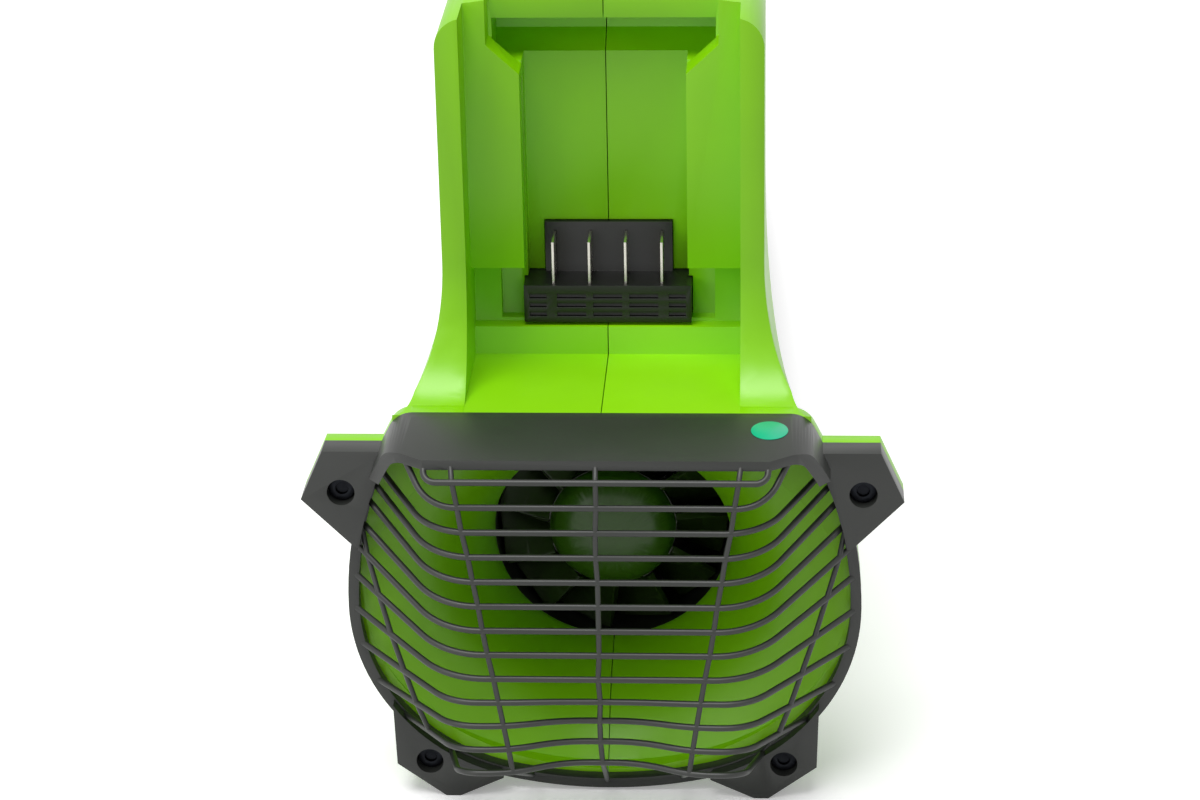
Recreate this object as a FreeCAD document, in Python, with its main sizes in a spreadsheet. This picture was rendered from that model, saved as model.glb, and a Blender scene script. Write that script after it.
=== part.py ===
"""Cordless axial leaf blower, built as a parametric FreeCAD document.

Model frame, in millimetres: X to the right, Y forwards along the air path, Z up.
While it is modelled, Y = 0 is the face between the intake grille and the housing and Z = 0 is
the fan's axis. Each placement then moves its piece by the same amount, so that the finished
model has its origin on the ground below the middle of its length.
"""
import FreeCAD, Part
import math
import os
import re

import Sketcher

SIZES = {
    # stance
    "axis_height": 63.0,
    "seam_gap": 0.3,
    "fit_gap": 0.3,
    "running_gap": 0.05,
    # outline shared by the grille's ring and the housing's flange
    "ring_half_width": 77.0,
    "ring_half_height": 62.0,
    "ring_side_radius": 122.8,
    "ring_corner_radius": 8.0,
    "ring_foot_radius": 60.0,
    "ring_rim": 3.2,
    "flange_thickness": 5.0,
    # grille basket
    "basket_depth": 38.0,
    "collar_wall": 3.0,
    "collar_depth": 34.0,
    "collar_low": 48.0,
    "slat_count": 13,
    "slat_pitch": 7.9,
    "slat_first": 56.5,
    "slat_radius": 0.95,
    "slat_corner": 48.8,
    "slat_corner_step": 0.55,
    "slat_bend": 11.2,
    "slat_end": 2.5,
    "rib_radius": 0.8,
    "rib_inner_top": 41.5,
    "rib_inner_lean": 0.157,
    "rib_outer_top": 72.0,
    "rib_outer_lean": 0.34,
    "rib_outer_start": 24.0,
    "rib_outer_first": 5,
    # screw lugs
    "lug_thickness": 8.0,
    "lug_floor": 2.4,
    "upper_lug_across": 77.0,
    "upper_lug_up": 39.5,
    "lower_lug_across": 54.0,
    "lower_lug_down": 51.0,
    "lug_hole_radius": 4.15,
    "screw_radius": 2.0,
    "screw_head_radius": 3.8,
    "screw_head_height": 2.6,
    "grille_screw_length": 14.0,
    "boss_radius": 5.6,
    "boss_length": 14.0,
    # bell mouth and barrel
    "mouth_half_width": 72.5,
    "mouth_half_height": 57.5,
    "throat_radius": 37.0,
    "throat_start": 50.0,
    "barrel_radius": 50.0,
    "barrel_start": 62.0,
    "bell_inset": 2.0,
    "barrel_taper_start": 118.0,
    "barrel_taper": 34.0,
    "barrel_end_radius": 45.0,
    "barrel_end": 226.0,
    "double_wall": 3.0,
    "spigot_radius": 41.0,
    "spigot_length": 40.0,
    "spigot_wall": 3.5,
    # column with the battery bay
    "column_half_width": 47.7,
    "column_rear": 24.0,
    "column_front": 100.0,
    "column_top": 175.0,
    "column_corner": 9.0,
    "column_crown": 3.0,
    "flare_height": 38.0,
    "flare_width": 14.0,
    "flare_sink": 0.8,
    "bay_half_width": 40.7,
    "bay_floor": 61.9,
    "bay_step_height": 10.0,
    "bay_step_depth": 45.0,
    "bay_low_depth": 50.0,
    "rail_face": 40.0,
    "rail_bottom": 92.0,
    "rail_gap_half": 24.6,
    "rail_mouth_half": 34.2,
    "rail_mouth_low": 153.0,
    "rail_mouth_high": 162.0,
    "rail_slot_depth": 8.0,
    "rail_slot_front": 48.0,
    "rail_slot_width": 6.0,
    "channel_depth": 60.0,
    "channel_top": 154.0,
    "latch_depth": 68.0,
    "latch_bottom": 159.0,
    "latch_top": 167.0,
    "lip_face": 51.0,
    "top_slope": 20.0,
    # electronics room between the bay and the column's front
    "room_half_width": 40.0,
    "room_rear": 71.0,
    "room_front": 96.0,
    "room_bottom": 60.0,
    "room_top": 146.0,
    "board_rear": 80.0,
    "board_thickness": 1.6,
    "board_bottom": 66.0,
    "board_top": 138.0,
    "sink_half_width": 25.0,
    "sink_base": 2.0,
    "sink_depth": 10.0,
    "sink_bottom": 92.0,
    "sink_top": 132.0,
    "sink_fins": 9,
    "fin_thickness": 1.4,
    "cap_radius": 6.0,
    "cap_height": 19.0,
    "cap_across": 22.0,
    # terminal block
    "block_half_width": 25.5,
    "block_face": 46.0,
    "block_back": 61.0,
    "block_height": 12.0,
    "block_plate_half": 19.5,
    "block_plate_top": 100.0,
    "block_plate_thickness": 2.5,
    "blade_pitch": 11.0,
    "blade_thickness": 0.8,
    "blade_rise": 13.5,
    "blade_front": 47.5,
    "tab_front": 52.0,
    "tab_back": 56.0,
    "tab_end": 65.5,
    "tab_room_half": 19.0,
    "blade_depth": 10.5,
    # handle
    "grip_rear": 92.0,
    "grip_rear_height": 138.0,
    "grip_front": 196.0,
    "grip_half_width": 17.0,
    "grip_half_height": 18.5,
    "grip_sleeve": 2.0,
    "sleeve_start": 26.0,
    "sleeve_end": 70.0,
    "strut_bend": 27.0,
    "strut_lean": 8.0,
    # trigger, switch and buttons, along the grip from its rear end
    "trigger_place": 88.0,
    "trigger_half_width": 5.6,
    "trigger_reach": 11.0,
    "trigger_length": 27.0,
    "pin_radius": 1.6,
    "switch_length": 20.0,
    "switch_height": 12.0,
    "switch_width": 11.0,
    "plunger_radius": 1.8,
    "turbo_place": 20.0,
    "turbo_radius": 6.0,
    "turbo_travel": 2.5,
    "lever_place": 36.0,
    "lever_radius": 8.0,
    "lever_length": 26.0,
    "lever_thickness": 4.0,
    # fan and motor
    "hub_radius": 20.0,
    "hub_nose": 43.0,
    "hub_back": 68.0,
    "blade_count": 11,
    "fan_tip_gap": 0.8,
    "fan_front": 50.5,
    "fan_back": 66.0,
    "shaft_radius": 2.5,
    "shaft_front": 52.0,
    "shaft_back": 121.0,
    "nut_width": 8.0,
    "nut_thickness": 4.0,
    "bearing_radius": 7.0,
    "bearing_width": 5.0,
    "motor_radius": 19.0,
    "motor_start": 73.0,
    "motor_end": 117.0,
    "motor_wall": 1.5,
    "rotor_radius": 10.0,
    "stator_inner": 10.6,
    "pod_wall": 2.2,
    "duct_wall": 2.4,
    "duct_end": 124.0,
    "vane_count": 7,
    "vane_thickness": 2.0,
    "vane_start": 78.0,
    "vane_end": 114.0,
    "rotor_start": 83.0,
    "rotor_end": 103.0,
    "stator_start": 82.0,
    "stator_end": 104.0,
    "winding_reach": 4.0,
    "end_cap_start": 113.3,
    "cone_length": 44.0,
    "cone_tip_radius": 5.0,
    "cone_wall": 2.2,
    "conduit_radius": 4.2,
    "lead_hole_place": 84.0,
    # nozzle
    "nozzle_wall": 2.4,
    "nozzle_start": 228.0,
    "nozzle_socket": 46.0,
    "lock_place": 242.0,
    "lock_length": 8.0,
    "lock_half_width": 4.0,
    "lock_height": 2.2,
    "nozzle_end": 563.0,
    "nozzle_tip_radius": 33.5,
    # housing screws
    "house_screw_radius": 2.0,
    "house_head_radius": 3.6,
    "house_head_height": 2.4,
    "house_boss_radius": 4.8,
    "house_screw_seat": 9.0,
    "house_screw_reach": 11.0,
}

Vector = FreeCAD.Vector
X_AXIS = Vector(1, 0, 0)
Y_AXIS = Vector(0, 1, 0)
Z_AXIS = Vector(0, 0, 1)

doc = FreeCAD.newDocument("LeafBlower")
sheet = doc.addObject("Spreadsheet::Sheet", "Sizes")
for row, (alias, value) in enumerate(SIZES.items(), start=1):
    sheet.set("A%d" % row, alias.replace("_", " "))
    sheet.set("B%d" % row, str(value))
    sheet.setAlias("B%d" % row, alias)
doc.recompute()

NODES = []


def size(formula):
    """The value of a formula of the sheet's aliases."""
    return float(sheet.evalExpression(str(formula)))


def bound(formula):
    """The same formula, as an expression that a document object can hold."""
    return re.sub(r"([a-z_]{2,})", r"Sizes.\1", str(formula))


def place(piece):
    """Moves a piece from the modelling frame to the finished one, by expressions."""
    piece.setExpression("Placement.Base.y", bound("(basket_depth - nozzle_end) / 2"))
    piece.setExpression("Placement.Base.z", bound("axis_height"))
    return piece


def node(piece, label):
    """Names a piece, places it and lists it among the nodes to write."""
    piece.Label = label
    place(piece)
    NODES.append(piece)
    return piece


# ---------------------------------------------------------------- sketched and turned pieces

def plane_of(body, role):
    """One of a body's own origin planes."""
    return [item for item in body.Origin.OriginFeatures if item.Role == role][0]


def outline_sketch(body, role, points, offset="0"):
    """A closed straight-sided sketch whose corners are bound to formulas of the sheet."""
    sketch = body.newObject("Sketcher::SketchObject", "Outline")
    sketch.AttachmentSupport = [(plane_of(body, role), "")]
    sketch.MapMode = "FlatFace"
    sketch.setExpression("AttachmentOffset.Base.z", bound(offset))
    corners = [(size(across), size(up)) for across, up in points]
    count = len(corners)
    for index, (across, up) in enumerate(corners):
        after = corners[(index + 1) % count]
        sketch.addGeometry(Part.LineSegment(Vector(across, up, 0), Vector(after[0], after[1], 0)))
    for index in range(count):
        sketch.addConstraint(Sketcher.Constraint("Coincident", index, 2, (index + 1) % count, 1))
    for index in range(count):
        for letter, formula, value in zip("XY", points[index], corners[index]):
            number = sketch.addConstraint(
                Sketcher.Constraint("Distance" + letter, -1, 1, index, 1, value))
            name = "corner%d%s" % (index, letter.lower())
            sketch.renameConstraint(number, name)
            sketch.setExpression("Constraints." + name, bound(formula))
    return sketch


def turned(label, points):
    """A body revolved about the fan's axis; points are (along Y, radius) formulas."""
    body = doc.addObject("PartDesign::Body", label)
    sketch = outline_sketch(body, "YZ_Plane", points)
    turn = body.newObject("PartDesign::Revolution", "Turn")
    turn.Profile = sketch
    turn.ReferenceAxis = (sketch, ["H_Axis"])
    turn.Angle = 360.0
    doc.recompute()
    return node(body, label)


def padded(label, role, points, thickness, offset="0"):
    """A body padded both ways from a plane; returns it before it is listed as a node."""
    body = doc.addObject("PartDesign::Body", label)
    sketch = outline_sketch(body, role, points, offset)
    pad = body.newObject("PartDesign::Pad", "Pad")
    pad.Profile = sketch
    pad.Midplane = True
    pad.setExpression("Length", bound(thickness))
    doc.recompute()
    return body


# ---------------------------------------------------------------- free-form helpers

def feature(label, shape):
    """A node whose shape is made with Part's own functions."""
    piece = doc.addObject("Part::Feature", label)
    piece.Shape = shape
    return node(piece, label)


def block(low, high):
    """A box between two corners."""
    return Part.makeBox(high[0] - low[0], high[1] - low[1], high[2] - low[2], Vector(*low))


def rod(start, end, radius):
    """A cylinder between two points."""
    first = Vector(*start)
    along = Vector(*end) - first
    return Part.makeCylinder(radius, along.Length, first, along)


def polygon_prism(points, along):
    """A straight-sided face pushed along a vector."""
    wire = Part.makePolygon([Vector(*point) for point in points + points[:1]])
    return Part.Face(wire).extrude(along)


def half_space():
    """Everything to the right of the parting plane, less half of the seam."""
    reach = 1200.0
    return block((size("seam_gap") / 2, -reach, -reach), (reach, reach, reach))


def bent_path(points, largest=1000.0):
    """A wire of straight runs joined by arcs, as large as the runs and a limit allow."""
    spots = [Vector(*point) for point in points]
    runs = [(after - before).Length for before, after in zip(spots, spots[1:])]
    edges = []
    start = spots[0]
    for index in range(1, len(spots) - 1):
        back = (spots[index - 1] - spots[index]).normalize()
        ahead = (spots[index + 1] - spots[index]).normalize()
        turn = math.pi - back.getAngle(ahead)
        reach = min(0.45 * min(runs[index - 1], runs[index]), largest)
        bend = reach / math.tan(turn / 2)
        enter = spots[index] + back * reach
        leave = spots[index] + ahead * reach
        bisector = (back + ahead).normalize()
        centre = spots[index] + bisector * math.hypot(reach, bend)
        middle = centre - bisector * bend
        edges.append(Part.makeLine(start, enter))
        edges.append(Part.Arc(enter, middle, leave).toShape())
        start = leave
    edges.append(Part.makeLine(start, spots[-1]))
    return Part.Wire(edges)


def bar_pieces(path, radius):
    """A round bar along a path: a rod for each straight run and a part of a ring for each bend."""
    pieces = []
    for edge in path.Edges:
        first = edge.valueAt(edge.FirstParameter)
        last = edge.valueAt(edge.LastParameter)
        if edge.Curve.TypeId == "Part::GeomLine":
            pieces.append(Part.makeCylinder(radius, (last - first).Length, first, last - first))
        else:
            turn = math.degrees(edge.LastParameter - edge.FirstParameter)
            disc = Part.Face(Part.Wire(Part.makeCircle(radius, first,
                                                       edge.tangentAt(edge.FirstParameter))))
            pieces.append(disc.revolve(edge.Curve.Center, edge.Curve.Axis, turn))
    return pieces


def tube_path(points, radius):
    """A round bar through several points, its corners rounded."""
    pieces = bar_pieces(bent_path(points), radius)
    return pieces[0].fuse(pieces[1:]).removeSplitter()


# ---------------------------------------------------------------- ring outline and lugs

def ring_wire(inset, y=0.0):
    """The intake ring's outline: flat top, rounded shoulders, bowed sides, full underside."""
    half = size("ring_half_width") - inset
    top = size("ring_half_height") - inset
    side = size("ring_side_radius") - inset
    corner = size("ring_corner_radius") - inset
    side_centre = half - side
    across = side_centre + math.sqrt((side - corner) ** 2 - (top - corner) ** 2)
    scale = side / (side - corner)
    touch = (side_centre + (across - side_centre) * scale, (top - corner) * scale)
    touch_angle = math.atan2(touch[1], touch[0] - side_centre)

    def spot(x, z):
        return Vector(x, y, z)

    def side_spot(angle, sign):
        return spot(sign * (side_centre + side * math.cos(angle)), side * math.sin(angle))

    def corner_spot(angle, sign):
        return spot(sign * (across + corner * math.cos(angle)),
                    top - corner + corner * math.sin(angle))

    foot = size("ring_foot_radius") - inset
    aside = half - foot
    above = (aside ** 2 - (top - foot) ** 2) / (2 * (top - foot))
    lean = math.atan2(above, aside)

    def foot_spot(angle, sign):
        return spot(sign * (aside + foot * math.cos(angle)), -foot * math.sin(angle))

    low = top + above
    join = (low * math.cos(lean), above - low * math.sin(lean))
    middle = (touch_angle + math.pi / 2) / 2
    edges = [Part.Arc(spot(join[0], join[1]), spot(0, -top), spot(-join[0], join[1])).toShape()]
    for sign in (1, -1):
        edges.append(Part.Arc(spot(sign * half, 0), foot_spot(lean / 2, sign),
                              spot(sign * join[0], join[1])).toShape())
        edges.append(Part.Arc(side_spot(0, sign), side_spot(touch_angle / 2, sign),
                              side_spot(touch_angle, sign)).toShape())
        edges.append(Part.Arc(corner_spot(touch_angle, sign), corner_spot(middle, sign),
                              corner_spot(math.pi / 2, sign)).toShape())
    edges.append(Part.makeLine(spot(across, top), spot(-across, top)))
    return Part.Wire(Part.__sortEdges__(edges))


def ring_prism(inset, rear, front):
    """The ring's outline as a prism from one Y to another."""
    return Part.Face(ring_wire(inset, rear)).extrude(Vector(0, front - rear, 0))


def lug_outlines():
    """The four screw lugs: the corners of each and its screw's place."""
    foot = size("axis_height")
    upper = (size("upper_lug_across"), size("upper_lug_up"))
    lower = (size("lower_lug_across"), -size("lower_lug_down"))
    shapes = []
    for sign in (1, -1):
        high = [(sign * (upper[0] - 16), upper[1] + 13.3), (sign * (upper[0] + 5), upper[1] + 13.3),
                (sign * (upper[0] + 12), upper[1] - 2.3), (sign * (upper[0] - 3.3), upper[1] - 17.9),
                (sign * (upper[0] - 12), upper[1] - 17.9)]
        low = [(sign * (lower[0] + 10.6), lower[1] + 21), (sign * (lower[0] + 10), lower[1] - 1),
               (sign * (lower[0] - 4.7), -foot), (sign * (lower[0] - 9), -foot),
               (sign * (lower[0] - 22.4), lower[1] - 5.7), (sign * (lower[0] - 10), lower[1] + 21)]
        shapes.append((high, (sign * upper[0], upper[1])))
        shapes.append((low, (sign * lower[0], lower[1])))
    return shapes


def lug_plates(rear, front):
    """The lugs as plates from one Y to another."""
    plates = []
    for corners, _ in lug_outlines():
        points = [(x, rear, z) for x, z in corners]
        plates.append(polygon_prism(points, Vector(0, front - rear, 0)))
    return plates


# ---------------------------------------------------------------- intake grille

def mid_rim(level):
    """How far the middle of the ring's rim lies from the centre line at a height."""
    inset = size("ring_rim") / 2
    if level < 0:
        foot = size("ring_foot_radius") - inset
        return size("ring_half_width") - inset - foot + math.sqrt(foot ** 2 - level ** 2)
    side = size("ring_side_radius") - inset
    return size("ring_half_width") - inset - side + math.sqrt(side ** 2 - level ** 2)


def slat_paths():
    """The paths of the bars: level in front, then fanned out to the collar or the ring."""
    front = size("slat_radius - basket_depth")
    end = -size("slat_end")
    inside_collar = size("ring_half_height - collar_wall / 2")
    ends = [(49.5, -31.0, inside_collar), (56.0, -26.0, inside_collar)]
    for level in (45.9, 41.2, 35.5, 27.8, 20.0, 10.6, -0.7, -12.7, -25.5, -37.0, -49.5):
        ends.append((mid_rim(level), end, level))
    recesses = {9: 1.0, 10: 4.0, 11: 5.7, 12: 7.0}
    paths = []
    for index in range(int(size("slat_count"))):
        level = size("slat_first") - index * size("slat_pitch")
        corner = size("slat_corner") - index * size("slat_corner_step")
        x, y, z = ends[index]
        points = [(-x, y, z), (-corner, front, level)]
        recess = recesses.get(index, 0.0)
        if recess:
            points += [(-27, front, level), (-11, front + recess, level),
                       (11, front + recess, level), (27, front, level)]
        points += [(corner, front, level), (x, y, z)]
        paths.append(bent_path(points, size("slat_bend")))
    return paths


def crossing(path, top, lean, start, sign):
    """Where a bar's path meets a rib's leaning line, by stepping along the path."""
    spots = [spot for spot in path.discretize(Number=400) if sign * spot.x >= 0 or top == 0]
    return min(spots, key=lambda spot: abs(sign * spot.x - (top - lean * (start - spot.z))))


def rib_rods(paths, top, lean, start, sign, first_spot, foot):
    """A rib as short rods from bar to bar, and on to the ring below."""
    spots = [first_spot] if first_spot else []
    spots += [crossing(path, top, lean, start, sign) for path in paths]
    spots.append(foot)
    rods = []
    for before, after in zip(spots, spots[1:]):
        step = (after - before).normalize() * 0.25
        low, high = before + step, after - step
        rods.append(rod((low.x, low.y, low.z), (high.x, high.y, high.z), size("rib_radius")))
    return rods


def collar_band():
    """The flat collar over the intake, with short cheeks round its shoulders."""
    depth = size("collar_depth")
    low = size("collar_low")
    plan = [(-80, 1), (-80, -4), (-66, -18), (-58, -28), (-49.5, -depth),
            (49.5, -depth), (58, -28), (66, -18), (80, -4), (80, 1)]
    band = polygon_prism([(x, y, low) for x, y in plan], Vector(0, 0, 30))
    band = band.common(ring_prism(0.0, -depth - 5, -0.5))
    return band.cut(ring_prism(size("collar_wall"), -depth - 9, 2))


def make_intake_grille():
    """A moulded basket of round bars and ribs, with its collar, ring and four lugs."""
    rim = size("ring_rim")
    thick = size("lug_thickness")
    paths = slat_paths()
    pieces = [collar_band()]
    for path in paths:
        bar = bar_pieces(path, size("slat_radius"))
        pieces.append(bar[0].fuse(bar[1:]))
    collar = size("ring_half_height - collar_wall / 2")
    inside = -size("collar_depth") + 1.5
    end = -size("slat_end")
    low_rim = size("ring_rim / 2 - ring_half_height")
    pieces += rib_rods(paths, 0.0, 0.0, 0.0, 1, Vector(0, inside, collar), Vector(0, end, low_rim))
    top = size("rib_inner_top")
    lean = size("rib_inner_lean")
    outer = paths[int(size("rib_outer_first")):-1]
    for sign in (1, -1):
        pieces += rib_rods(paths, top, lean, collar, sign, Vector(sign * top, inside, collar),
                           Vector(sign * 23, end, low_rim + 1.9))
        pieces += rib_rods(outer, size("rib_outer_top"), size("rib_outer_lean"),
                           size("rib_outer_start"), sign, None,
                           Vector(sign * mid_rim(-51.0), end, -51.0))
    opening = ring_prism(rim - 0.5, -thick - 1, 1)
    pieces += [plate.cut(opening) for plate in lug_plates(-thick, 0)]
    ring = ring_prism(0.0, -thick / 2, 0).cut(ring_prism(rim, -thick, 1))
    whole = ring.fuse(pieces)
    for _, (x, z) in lug_outlines():
        floor = -size("lug_floor")
        whole = whole.cut(rod((x, -thick - 30, z), (x, floor, z), size("lug_hole_radius")))
        whole = whole.cut(rod((x, floor - 1, z), (x, 1, z),
                              size("screw_radius + running_gap")))
    if len(whole.Solids) != 1:
        raise RuntimeError("the grille is in %d pieces" % len(whole.Solids))
    return feature("intake_grille", whole.Solids[0].removeSplitter())


def make_grille_screws():
    """Four screws that hold the grille's lugs to the housing."""
    screws = []
    for _, (x, z) in lug_outlines():
        seat = -size("lug_floor")
        head = rod((x, seat - size("screw_head_height"), z), (x, seat, z),
                   size("screw_head_radius"))
        shank = rod((x, seat, z), (x, seat + size("grille_screw_length"), z),
                    size("screw_radius"))
        socket = rod((x, seat - size("screw_head_height") - 1, z), (x, seat - 1.2, z), 1.9)
        screws.append(head.fuse(shank).cut(socket).removeSplitter())
    return feature("grille_screws", Part.makeCompound(screws))


# ---------------------------------------------------------------- housing

def quarter_curve(start, end, first_pull, last_pull):
    """A quarter of an ellipse between two points, as one Bezier curve."""
    curve = Part.BezierCurve()
    curve.setPoles([start, start + first_pull * 0.5523, end + last_pull * 0.5523, end])
    return curve.toShape()


def column_solid():
    """The column that holds the bay: straight above, flared to the intake's width below."""
    solid = column_elevation().common(column_front_view())
    half = size("column_half_width")
    wide = size("column_half_width + flare_width")
    low = size("bay_floor") - 30
    reach = size("column_front") + 10
    for sign in (1, -1):
        start, end = Vector(sign * wide, 0, low), Vector(sign * half, reach, low)
        far, near = Vector(sign * (wide + 9), reach, low), Vector(sign * (wide + 9), 0, low)
        edges = [quarter_curve(start, end, Vector(-sign * size("flare_width"), 0, 0),
                               Vector(0, -reach, 0)),
                 Part.makeLine(end, far), Part.makeLine(far, near), Part.makeLine(near, start)]
        beside = Part.Face(Part.Wire(edges)).extrude(Vector(0, 0, size("column_top")))
        solid = solid.cut(beside)
    return solid.Solids[0]


def column_elevation():
    """The column seen from the side: flared rear edge, level top, then a slope to the grip."""
    top = size("column_top + column_crown")
    low = size("bay_floor - flare_sink")
    knee = size("bay_floor + flare_height")
    rear = size("column_rear")
    bend = size("lip_face") + 7.0
    front = size("column_front")
    drop = (front - bend) * math.tan(math.radians(size("top_slope")))
    half = size("column_half_width + flare_width") + 10
    base = low - 14.0
    rise = Vector(0, 0, low - knee)
    run = Vector(0, rear, 0)
    corners = [Vector(-half, rear, knee), Vector(-half, rear, top), Vector(-half, bend, top),
               Vector(-half, front, top - drop), Vector(-half, front, base),
               Vector(-half, 0, base), Vector(-half, 0, low)]
    edges = [Part.makeLine(*pair) for pair in zip(corners, corners[1:])]
    edges.append(quarter_curve(corners[-1], corners[0], run, rise))
    return Part.Face(Part.Wire(edges)).extrude(Vector(2 * half, 0, 0))


def column_front_view():
    """The column seen from behind: flared foot, rounded shoulders, slightly crowned top."""
    half = size("column_half_width")
    wide = size("column_half_width + flare_width")
    low = size("bay_floor - flare_sink")
    knee = size("bay_floor + flare_height")
    top = size("column_top")
    corner = size("column_corner")
    turn = corner * (1 - math.sqrt(0.5))
    rear = -10.0

    def spot(x, z):
        return Vector(x, rear, z)

    edges = [Part.makeLine(spot(-wide, low - 14), spot(wide, low - 14)),
             Part.Arc(spot(half - corner, top), spot(0, top + size("column_crown")),
                      spot(corner - half, top)).toShape()]
    for sign in (1, -1):
        inwards = Vector(-sign * size("flare_width"), 0, 0)
        edges.append(Part.makeLine(spot(sign * wide, low - 14), spot(sign * wide, low)))
        edges.append(quarter_curve(spot(sign * wide, low), spot(sign * half, knee),
                                   inwards, Vector(0, 0, low - knee)))
        edges.append(Part.makeLine(spot(sign * half, knee), spot(sign * half, top - corner)))
        edges.append(Part.Arc(spot(sign * half, top - corner),
                              spot(sign * (half - turn), top - turn),
                              spot(sign * (half - corner), top)).toShape())
    outline = Part.Wire(Part.__sortEdges__(edges))
    return Part.Face(outline).extrude(Vector(0, size("column_front") + 30, 0))


def bay_cut():
    """What the battery bay takes out of the column."""
    half = size("bay_half_width")
    floor = size("bay_floor")
    step = floor + size("bay_step_height")
    rail = size("rail_bottom")
    high = size("column_top") + 20
    gap = size("rail_gap_half")
    mouth = size("rail_mouth_half")
    back = size("channel_depth")
    slot = size("rail_slot_front")
    cuts = [block((-half, -5, floor), (half, size("bay_step_depth"), step)),
            block((-half, -5, step - 1), (half, size("bay_low_depth"), rail)),
            block((-half, -5, rail - 1), (half, size("rail_face"), high)),
            block((-gap, 0, step), (gap, back, size("channel_top")))]
    mouth_points = [(-gap, 10, rail), (gap, 10, rail), (gap, 10, size("rail_mouth_low")),
                    (mouth, 10, size("rail_mouth_high")), (mouth, 10, high),
                    (-mouth, 10, high), (-mouth, 10, size("rail_mouth_high")),
                    (-gap, 10, size("rail_mouth_low"))]
    cuts.append(polygon_prism(mouth_points, Vector(0, size("lip_face") - 10, 0)))
    wide = gap + size("rail_slot_depth")
    cuts.append(block((-wide, slot, step), (wide, slot + size("rail_slot_width"),
                                            size("rail_mouth_low") - 4)))
    gap_round = size("fit_gap")
    wide_block = size("block_half_width") + gap_round
    cuts.append(block((-wide_block, size("bay_step_depth") - 1, step),
                      (wide_block, size("block_back") + gap_round,
                       step + size("block_height") + gap_round)))
    plate = size("block_plate_half") + gap_round
    cuts.append(block((-plate, size("block_face"), step),
                      (plate, size("block_back") + gap_round,
                       size("block_plate_top") + gap_round)))
    cuts.append(block((-size("tab_room_half"), size("tab_front") - 1, size("tab_end") - 2),
                      (size("tab_room_half"), size("tab_back") + 1, step + 1)))
    latch = size("latch_depth")
    mid = mouth - 1.0
    latch_points = [(-mid, size("lip_face") - 1, size("latch_top")),
                    (-mid, latch, size("latch_top")),
                    (-mid, latch, size("latch_bottom")),
                    (-mid, back, size("channel_top")),
                    (-mid, size("lip_face") - 1, size("channel_top"))]
    cuts.append(polygon_prism(latch_points, Vector(2 * mid, 0, 0)))
    return cuts


def trumpet(start_radius, end_radius, end):
    """A solid of revolution whose wall flares out like a bell towards Y = 0."""
    near = Vector(0, 0, start_radius)
    far = Vector(0, end, end_radius)
    edges = [quarter_curve(near, far, Vector(0, 0, end_radius - start_radius), Vector(0, -end, 0)),
             Part.makeLine(far, Vector(0, end, 0)),
             Part.makeLine(Vector(0, end, 0), Vector(0, 0, 0)),
             Part.makeLine(Vector(0, 0, 0), near)]
    return Part.Face(Part.Wire(edges)).revolve(Vector(0, 0, 0), Y_AXIS, 360)


def barrel_solid():
    """The outside of the air path, from the flange to the nozzle's spigot."""
    radius = size("barrel_radius")
    start = size("barrel_start")
    bell = trumpet(size("ring_half_width") + 1, radius, start)
    bell = bell.common(ring_prism(size("bell_inset"), 0, start))
    taper = size("barrel_taper_start")
    tube = rod((0, start - 20, 0), (0, taper, 0), radius - 0.02)
    end = size("barrel_end")
    cone_end = taper + size("barrel_taper")
    cone = Part.makeCone(radius - 0.02, size("barrel_end_radius"), cone_end - taper,
                         Vector(0, taper, 0), Y_AXIS)
    nose = rod((0, cone_end, 0), (0, end, 0), size("barrel_end_radius"))
    spigot = rod((0, end, 0), (0, end + size("spigot_length"), 0), size("spigot_radius"))
    return [tube, bell, cone, nose, spigot]


def duct_cut():
    """The air path through the housing: bell mouth, seat for the fan duct, then outlet."""
    throat = size("throat_radius")
    start = size("throat_start")
    mouth = trumpet(size("mouth_half_width") + 2, throat, start)
    rim = Part.Ellipse(Vector(0, 0, 0), size("mouth_half_width"), size("mouth_half_height"))
    rim.Axis = Vector(0, -1, 0)
    rim.XAxis = X_AXIS
    plug = Part.Face(Part.Wire(rim.toShape())).extrude(Vector(0, start, 0))
    mouth = mouth.common(plug)
    seat_radius = throat + size("duct_wall + fit_gap")
    seat = rod((0, start, 0), (0, size("duct_end + fit_gap"), 0), seat_radius)
    outlet_radius = size("spigot_radius - spigot_wall")
    outlet = rod((0, size("duct_end"), 0), (0, size("barrel_end") + 60, 0), outlet_radius)
    wall = size("double_wall")
    hollow_start = size("barrel_start") + 2
    hollow_end = size("barrel_taper_start") - 4
    hollow = rod((0, hollow_start, 0), (0, hollow_end, 0), size("barrel_radius") - wall)
    hollow = hollow.cut(rod((0, hollow_start - 1, 0), (0, hollow_end + 1, 0),
                            seat_radius + 2.0))
    return [mouth, seat, outlet, hollow]


def grip_spot(along, up=0.0, across=0.0):
    """A point in the grip's own frame: along it from its rear end, and up from its middle."""
    slope = math.radians(size("top_slope"))
    return (across,
            size("grip_rear") + along * math.cos(slope) + up * math.sin(slope),
            size("grip_rear_height") - along * math.sin(slope) + up * math.cos(slope))


def grip_placement(along=0.0, up=0.0):
    """The same frame, as a placement with Y along the grip and Z out of its top."""
    turn = FreeCAD.Rotation(X_AXIS, -size("top_slope"))
    return FreeCAD.Placement(Vector(*grip_spot(along, up)), turn)


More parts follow.
